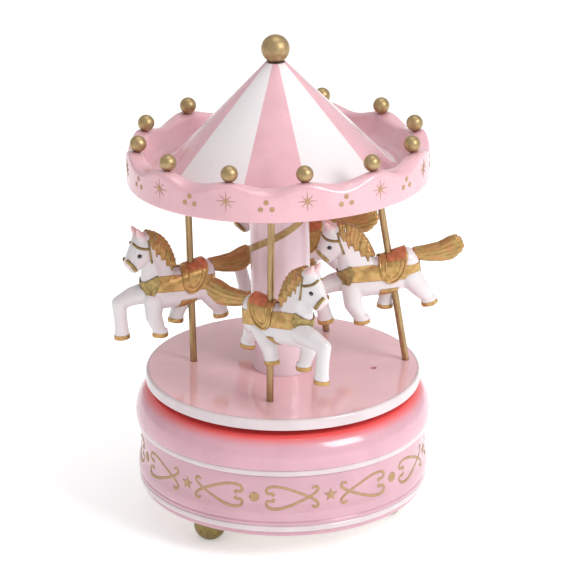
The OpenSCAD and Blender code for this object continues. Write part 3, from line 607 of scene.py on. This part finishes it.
# horses. Nose towards +x, the seat's top at the origin, y to the horse's left
horse = {
    "voxel": 0.3, "softening": 13,
    "barrel": [(-5.4, 0, -3.8, 4.3), (-5.4, 0, -9.6, 4.2), (4, 0, -4.8, 3.9), (13.4, 0, -6.2, 4.2),
               (13.6, 0, -9.8, 4.1), (4, 0, -10.6, 4.2)],
    "neckLow": [(12.6, 0, -5, 4.2), (15.6, 0, -4, 3), (8.8, 0, -2, 3), (10.6, 0, 6.5, 2.3), (15, 0, 5, 2.9)],
    "neckHigh": [(10.6, 0, 6.5, 2.3), (15, 0, 5, 2.9), (13.4, 0, 11, 2.3), (17.2, 0, 11, 2.9)],
    "skull": [(18.5, 0, 12.3, 2.9), (22.8, 0, 5.1, 2.1), (21.1, 0, 3.1, 2.1), (17.5, 0, 6.6, 3.1),
              (17.0, 0, 10, 3.1)],
    "poll": [(18.2, 0, 12.3, 2.7), (15.2, 0, 12.4, 2.6), (15.4, 0, 8, 2.7)],
    "ear": [(18.7, 1.5, 13.9, 1.6), (20.3, 2.0, 17.0, 0.6)],
    "legs": [
        [(15.4, -1.4, -7.8, 4), (21, -2.6, -8.4, 3.3), (26.0, -2.9, -9.9, 2.65), (25.6, -3.0, -15, 2.4),
         (25.3, -3.0, -20.4, 2.5)],
        [(14.8, 1.3, -9.6, 3.7), (15.6, 2.4, -15.2, 3.0), (13.9, 2.6, -20.4, 2.3)],
        [(-5.6, 1.3, -9.8, 4.1), (-8.2, 2.4, -14.4, 3.3), (-10.4, 2.6, -18.4, 2.3)],
        [(-1.6, -1.4, -10.6, 3.9), (2.6, -2.7, -15.6, 3.0), (3.8, -2.9, -19, 2.5)],
    ],
    "legFlatness": 0.84,
    "hooves": [(25.1, -3.0, -23.1, 0), (13.3, 2.6, -23.2, -6), (-10.9, 2.6, -21.1, 5), (4.2, -2.9, -21.7, -12)],
    "band": [(13.9, -0.8), (16.6, -6.2), (-12, -10.2), (-12, -5.2)],
    "collar": [(14.4, -0.4), (20.6, -3.6), (20.2, -8.4), (16.6, -9.0), (13.2, -3.0)],
    "flap": [(2.9, 1.6), (4.5, -3.4), (4.6, -6.2), (3.4, -8.7), (1.6, -9.4), (-0.9, -8.9), (-3.0, -6.6),
             (-4.5, -3.2), (-6.0, 1.6)],
    "girth": [(5.4, -11.4), (6.6, -15.9), (0.6, -16.2), (-0.8, -12.0)],
    "seat": [(1.2, 2.5), (1.5, -1.5), (-4.9, -1.6), (-6.2, 2.5)],
    "maneRoots": [(15.4, 14.4), (12.9, 13.4), (10.6, 11.6), (8.7, 9.0), (7.4, 6.0), (6.4, 3.0)],
    "maneTips": [(15.0, 9.4), (13.8, 6.6), (12.0, 5.2), (10.6, 2.8), (8.8, 0.6), (6.8, 0.4)],
    "locks": 10,
    "crest": [(15.2, 0, 13.7, 1.6), (12.3, 0, 12.0, 1.8), (9.7, 0, 9.2, 1.8), (7.8, 0, 5.6, 1.7),
              (6.6, 0, 2.4, 1.4), (5.8, 0, 0.6, 1.0)],
    "tail": [
        [(-8.6, -0.9), (-12.5, -1.2), (-17.4, -1.2), (-21.2, 0.0), (-23.2, 0.5)],
        [(-8.8, -1.7), (-12.8, -2.1), (-17.8, -2.2), (-22.0, -1.3), (-24.4, -0.8)],
        [(-9.0, -2.6), (-13.0, -3.2), (-18.0, -3.5), (-22.2, -2.9), (-24.7, -2.2)],
        [(-9.4, -3.3), (-13.2, -4.1), (-18.0, -4.7), (-21.8, -4.4), (-23.9, -3.6)],
        [(-9.8, -3.9), (-13.2, -4.9), (-17.4, -5.6), (-20.6, -5.6), (-22.3, -5.0)],
    ],
    "eye": (20.1, 7.6), "eyeRadius": 0.8,
    "brow": [(22.4, 12.6), (20.6, 10.8), (18.4, 9.9), (16.6, 9.6)],
    "cheek": [(16.6, 12.6), (16.4, 9.4), (16.0, 6.6), (15.6, 4.2)],
    "nose": [(24.4, 6.6), (22.9, 4.6), (21.4, 2.4)],
    "flapEdge": [(3.5, 0.2), (4.3, -3.4), (4.0, -6.8), (2.0, -9.1), (-0.9, -8.6), (-3.3, -6.0), (-4.8, -2.6),
                 (-5.5, -0.2)],
    "flapInner": [(1.9, -2.0), (2.6, -4.2), (2.3, -6.3), (1.0, -7.5), (-0.7, -6.9), (-2.2, -5.0), (-3.2, -2.2)],
}
riders = {
    # heading, slide along it, rise up the pole, angle of its socket, foot if it stands elsewhere,
    # play of the pole's head, whether it is out of its socket
    "front": (-38, -1.2, 0.4, 262, None, (0.6, 0), False),
    "right": (187, -0.4, 3.4, 356, (42.66, 5.41), (0, 0), True),
    "back": (182, 0, 2.6, 86, (15.4, 31.8), (0, 0), True),
    "left": (211, 0.7, 0, 172, None, (-1.7, 0), False),
}
deckTop, saddleHeight, socketDepth, poleRadius, poleRing, headHeight = 52.2, 36.4, 2.0, 1.18, 31.2, 124.4


def horsePlace(name):
    heading, slide, rise, angle, foot, play, popped = riders[name]
    socket = Vector((math.cos(math.radians(angle)), math.sin(math.radians(angle)))) * poleRing
    start = Vector(foot) if foot else socket
    run = socket + Vector(play) - start
    lean, turn = math.atan(run.length / (headHeight - deckTop)), math.atan2(run.y, run.x)
    low = deckTop - (0 if popped else socketDepth) + poleRadius * math.sin(lean) + 0.02
    pole = (Matrix.Translation((start.x, start.y, low)) @ Matrix.Rotation(turn, 4, "Z")
            @ Matrix.Rotation(lean, 4, "Y") @ Matrix.Rotation(-turn, 4, "Z"))
    lift = Matrix.Translation((slide, 0, saddleHeight + socketDepth + rise))
    return pole @ Matrix.Rotation(math.radians(heading), 4, "Z") @ lift


def addHoof(bm, x, y, z, tip):
    hoof = bmesh.new()
    spot = Matrix.Translation((x, y, z)) @ Matrix.Rotation(math.radians(tip), 4, "Y")
    bmesh.ops.create_cone(hoof, cap_ends=True, segments=24, radius1=2.3, radius2=2.05, depth=3,
                          matrix=spot @ Matrix.Translation((0.2, 0, 1.5)) @ Matrix.Diagonal((1.28, 1, 1, 1)))
    bm.from_mesh(meshOf(hoof))


def bodyMesh():
    bm = bmesh.new()
    for part in ("barrel", "neckLow", "neckHigh", "skull", "poll"):
        addHull(bm, horse[part], 3)
    for side in (1, -1):
        addLimb(bm, [(x, y * side, z, r) for x, y, z, r in horse["ear"]])
    for leg in horse["legs"]:
        part = bmesh.new()
        addLimb(part, leg, 3)
        middle = leg[-1][1]
        for v in part.verts:
            v.co.y = middle + (v.co.y - middle) * horse["legFlatness"]
        bm.from_mesh(meshOf(part))
    for hoof in horse["hooves"]:
        addHoof(bm, *hoof)
    return fused(bm, horse["voxel"], horse["softening"])


def torsoMesh():
    # the harness lies on this smoother shape, without legs or head
    bm = bmesh.new()
    for part in ("barrel", "neckLow"):
        addHull(bm, horse[part], 3)
    return fused(bm, 0.4, 6)


def maneMesh():
    bm = bmesh.new()
    addLimb(bm, horse["crest"])
    last = horse["locks"] - 1
    roots, tips = sampled(horse["maneRoots"], 12), sampled(horse["maneTips"], 12)
    for i in range(horse["locks"]):
        (rx, rz), (tx, tz) = roots[i * (len(roots) - 1) // last], tips[i * (len(tips) - 1) // last]
        tz += 1.1 if i % 2 else -0.5  # every other lock is shorter, for a jagged edge
        for side in (1, -1):
            addLimb(bm, [(rx, 0.9 * side, rz, 1.0), ((rx + tx) / 2 + 0.5, 1.95 * side, (rz + tz) / 2 + 0.6, 1.0),
                         (tx, 2.4 * side, tz, 0.45)])
    return fused(bm, 0.2, 2)


def tailMesh():
    bm = bmesh.new()
    addLimb(bm, [(-7.4, 0, -2.4, 2), (-12.6, 0, -3.2, 1.7), (-17.8, 0, -3.4, 2.0), (-22, 0, -2.8, 1.9)])
    for i, strand in enumerate(horse["tail"]):
        for side in (1, -1):
            out = (1.0, 1.5, 1.6, 1.5, 1.0)[i]
            balls = [(x, out * side * (0.8 if k in (0, 4) else 1), z, (0.8, 0.9, 1.1, 1.15, 1.05)[k])
                     for k, (x, z) in enumerate(strand)]
            addLimb(bm, balls)
    return fused(bm, 0.22, 2)


def cutShell(body, outline, lift, wall=0.5):
    # the skin inside an outline seen from the side, raised a little and given a wall
    bm = bmesh.new()
    bm.from_mesh(body)
    bm.normal_update()
    for v in bm.verts:
        v.co += v.normal * lift
    centre = Vector((sum(p[0] for p in outline), 0, sum(p[1] for p in outline))) / len(outline)
    for a, b in zip(outline, outline[1:] + outline[:1]):
        start, run = Vector((a[0], 0, a[1])), Vector((b[0] - a[0], 0, b[1] - a[1]))
        out = Vector((run.z, 0, -run.x)).normalized()
        if out.dot(centre - start) > 0:
            out = -out
        bmesh.ops.bisect_plane(bm, geom=bm.verts[:] + bm.edges[:] + bm.faces[:], plane_co=start, plane_no=out,
                               clear_outer=True)
    bmesh.ops.solidify(bm, geom=bm.faces[:], thickness=wall)
    bmesh.ops.recalc_face_normals(bm, faces=bm.faces[:])
    return bm


def onSide(tree, points, side, lift):
    # points seen from one side, laid on the skin
    laid = []
    for x, z in points:
        hit, normal, _, _ = tree.ray_cast(Vector((x, 20 * side, z)), Vector((0, -side, 0)))
        if hit is None:
            hit, normal, _, _ = tree.find_nearest(Vector((x, 1.0 * side, z)))
        laid.append(hit + normal * lift)
    return laid


def sampled(points, count):
    # even steps along a smooth line through the points
    spots = []
    last = len(points) - 1
    for i in range(last):
        a, b, c, d = (Vector(points[max(0, min(last, j))]) for j in (i - 1, i, i + 1, i + 2))
        for k in range(count):
            t = k / count
            spots.append(0.5 * (2 * b + (c - a) * t + (2 * a - 5 * b + 4 * c - d) * t ** 2
                                + (3 * b - a - 3 * c + d) * t ** 3))
    spots.append(Vector(points[-1]))
    return [(p.x, p.y) for p in spots]


def tackMeshes(body):
    bm = bmesh.new()
    bm.from_mesh(body)
    tree = BVHTree.FromBMesh(bm)
    bm.free()
    torso = torsoMesh()
    gold = cutShell(torso, horse["band"], 0.2)
    addPrint(gold, meshOf(cutShell(torso, horse["flap"], 0.42)))
    addPrint(gold, meshOf(cutShell(torso, horse["girth"], 0.3)))
    lines, marks, eyes = bmesh.new(), bmesh.new(), bmesh.new()
    for side in (1, -1):
        for name, radius, lift in (("flapEdge", 0.42, 0.38), ("flapInner", 0.32, 0.4)):
            addPrint(lines, tubeMesh(onSide(tree, sampled(horse[name], 4), side, lift), radius))
        for name, radius in (("brow", 0.48), ("cheek", 0.4), ("nose", 0.7)):
            addPrint(marks, tubeMesh(onSide(tree, sampled(horse[name], 3), side, 0.0), radius))
        spot = onSide(tree, [horse["eye"]], side, -0.15)[0]
        bmesh.ops.create_uvsphere(eyes, u_segments=24, v_segments=16, radius=horse["eyeRadius"],
                                  matrix=Matrix.Translation(spot) @ Matrix.Diagonal((1.15, 0.6, 1, 1)))
    collar = cutShell(torso, horse["collar"], 0.5)
    seat = cutShell(torso, horse["seat"], 0.66, 0.9)
    hooves = bmesh.new()
    for x, y, z, tip in horse["hooves"]:
        cap = [(x - 3.4, z - 1.2), (x + 3.8, z - 1.2), (x + 3.8, z + 1.6 - 3.8 * math.sin(math.radians(tip))),
               (x - 3.4, z + 1.6 + 3.4 * math.sin(math.radians(tip)))]
        addPrint(hooves, meshOf(cutShell(body, cap, 0.1, 0.4)))
    return {"Tack": (gold, "tackGold", "gold_foil"), "Edging": (lines, "tackGold", "gold_foil"),
            "Straps": (marks, "collarGold", "gold_foil"), "Collar": (collar, "collarGold", "gold_foil"),
            "Seat": (seat, "seatCopper", "gold_foil"), "Hooves": (hooves, "tackGold", "gold_foil"),
            "Eyes": (eyes, "eyeBlack", "horse_white")}


def blushOf(spot):
    ears = max(0.0, min(1.0, (spot.z - 13.2) / 2.2)) if spot.x > 17 else 0.0
    nostril = max(0.0, 1 - (spot - Vector((24.3, 0, 4.4))).length / 3.2)
    return max(ears, 0.5 * nostril)


def buildHorses():
    body, mane, tail = bodyMesh(), maneMesh(), tailMesh()
    extras = {key: (meshOf(bm), finish, slot) for key, (bm, finish, slot) in tackMeshes(body).items()}
    for name in riders:
        matrix = horsePlace(name)
        rider = "rider_" + name
        skin = addPiece("horse_" + name + "_body", body, "horseWhite", rider, matrix, blushOf)
        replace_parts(skin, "horse_" + name)
        addPiece("horse_" + name + "_mane", mane, "maneGold", rider, matrix)
        addPiece("horse_" + name + "_tail", tail, "maneGold", rider, matrix)
        for key, (mesh, finish, slot) in extras.items():
            addPiece("horse_" + name + "_" + key.lower(), mesh, finish, rider, matrix)
        print("horse", name, "placed")


buildHorses()


# nodes that stay as they are get their finish
kept = {
    "ballGold": ["finial_ball"] + [f"rim_ball_{i:02d}" for i in range(1, 13)],
    "footGold": ["foot_1", "foot_2", "foot_3"],
    "deckPink": ["deck_disc"],
    "columnPink": ["column"],
    "ribbonGold": ["column_ribbon"],
    "ceilingPink": ["canopy_ceiling"],
    "poleBrass": ["pole_front", "pole_right", "pole_back", "pole_left"],
    "boardBeige": ["base_plate"],
    "castZinc": ["movement_bedplate", "cylinder_bearings", "governor_frame", "comb_rest"],
    "brass": ["spring_barrel", "great_wheel", "drive_hub", "winding_key", "deck_bearing_bush", "cylinder_drum",
              "cylinder_gear", "worm_wheel"],
    "steel": ["plate_screws", "foot_screws", "movement_screws", "mainspring", "comb", "comb_screws",
              "winding_arbor", "tie_rod", "cylinder_arbor", "cylinder_pins", "governor_axle", "governor_worm",
              "air_brake"],
}


def finishKept():
    for finish, names in kept.items():
        for name in names:
            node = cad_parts[name]
            if not node.data.materials:
                node.data.materials.append(finishes[finish])
            for slot in node.material_slots:
                slot.material = finishes[finish]
    left = [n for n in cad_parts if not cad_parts[n].hide_render and n not in sum(kept.values(), [])]
    print("nodes kept", sum(len(names) for names in kept.values()), "without a finish", left)


finishKept()
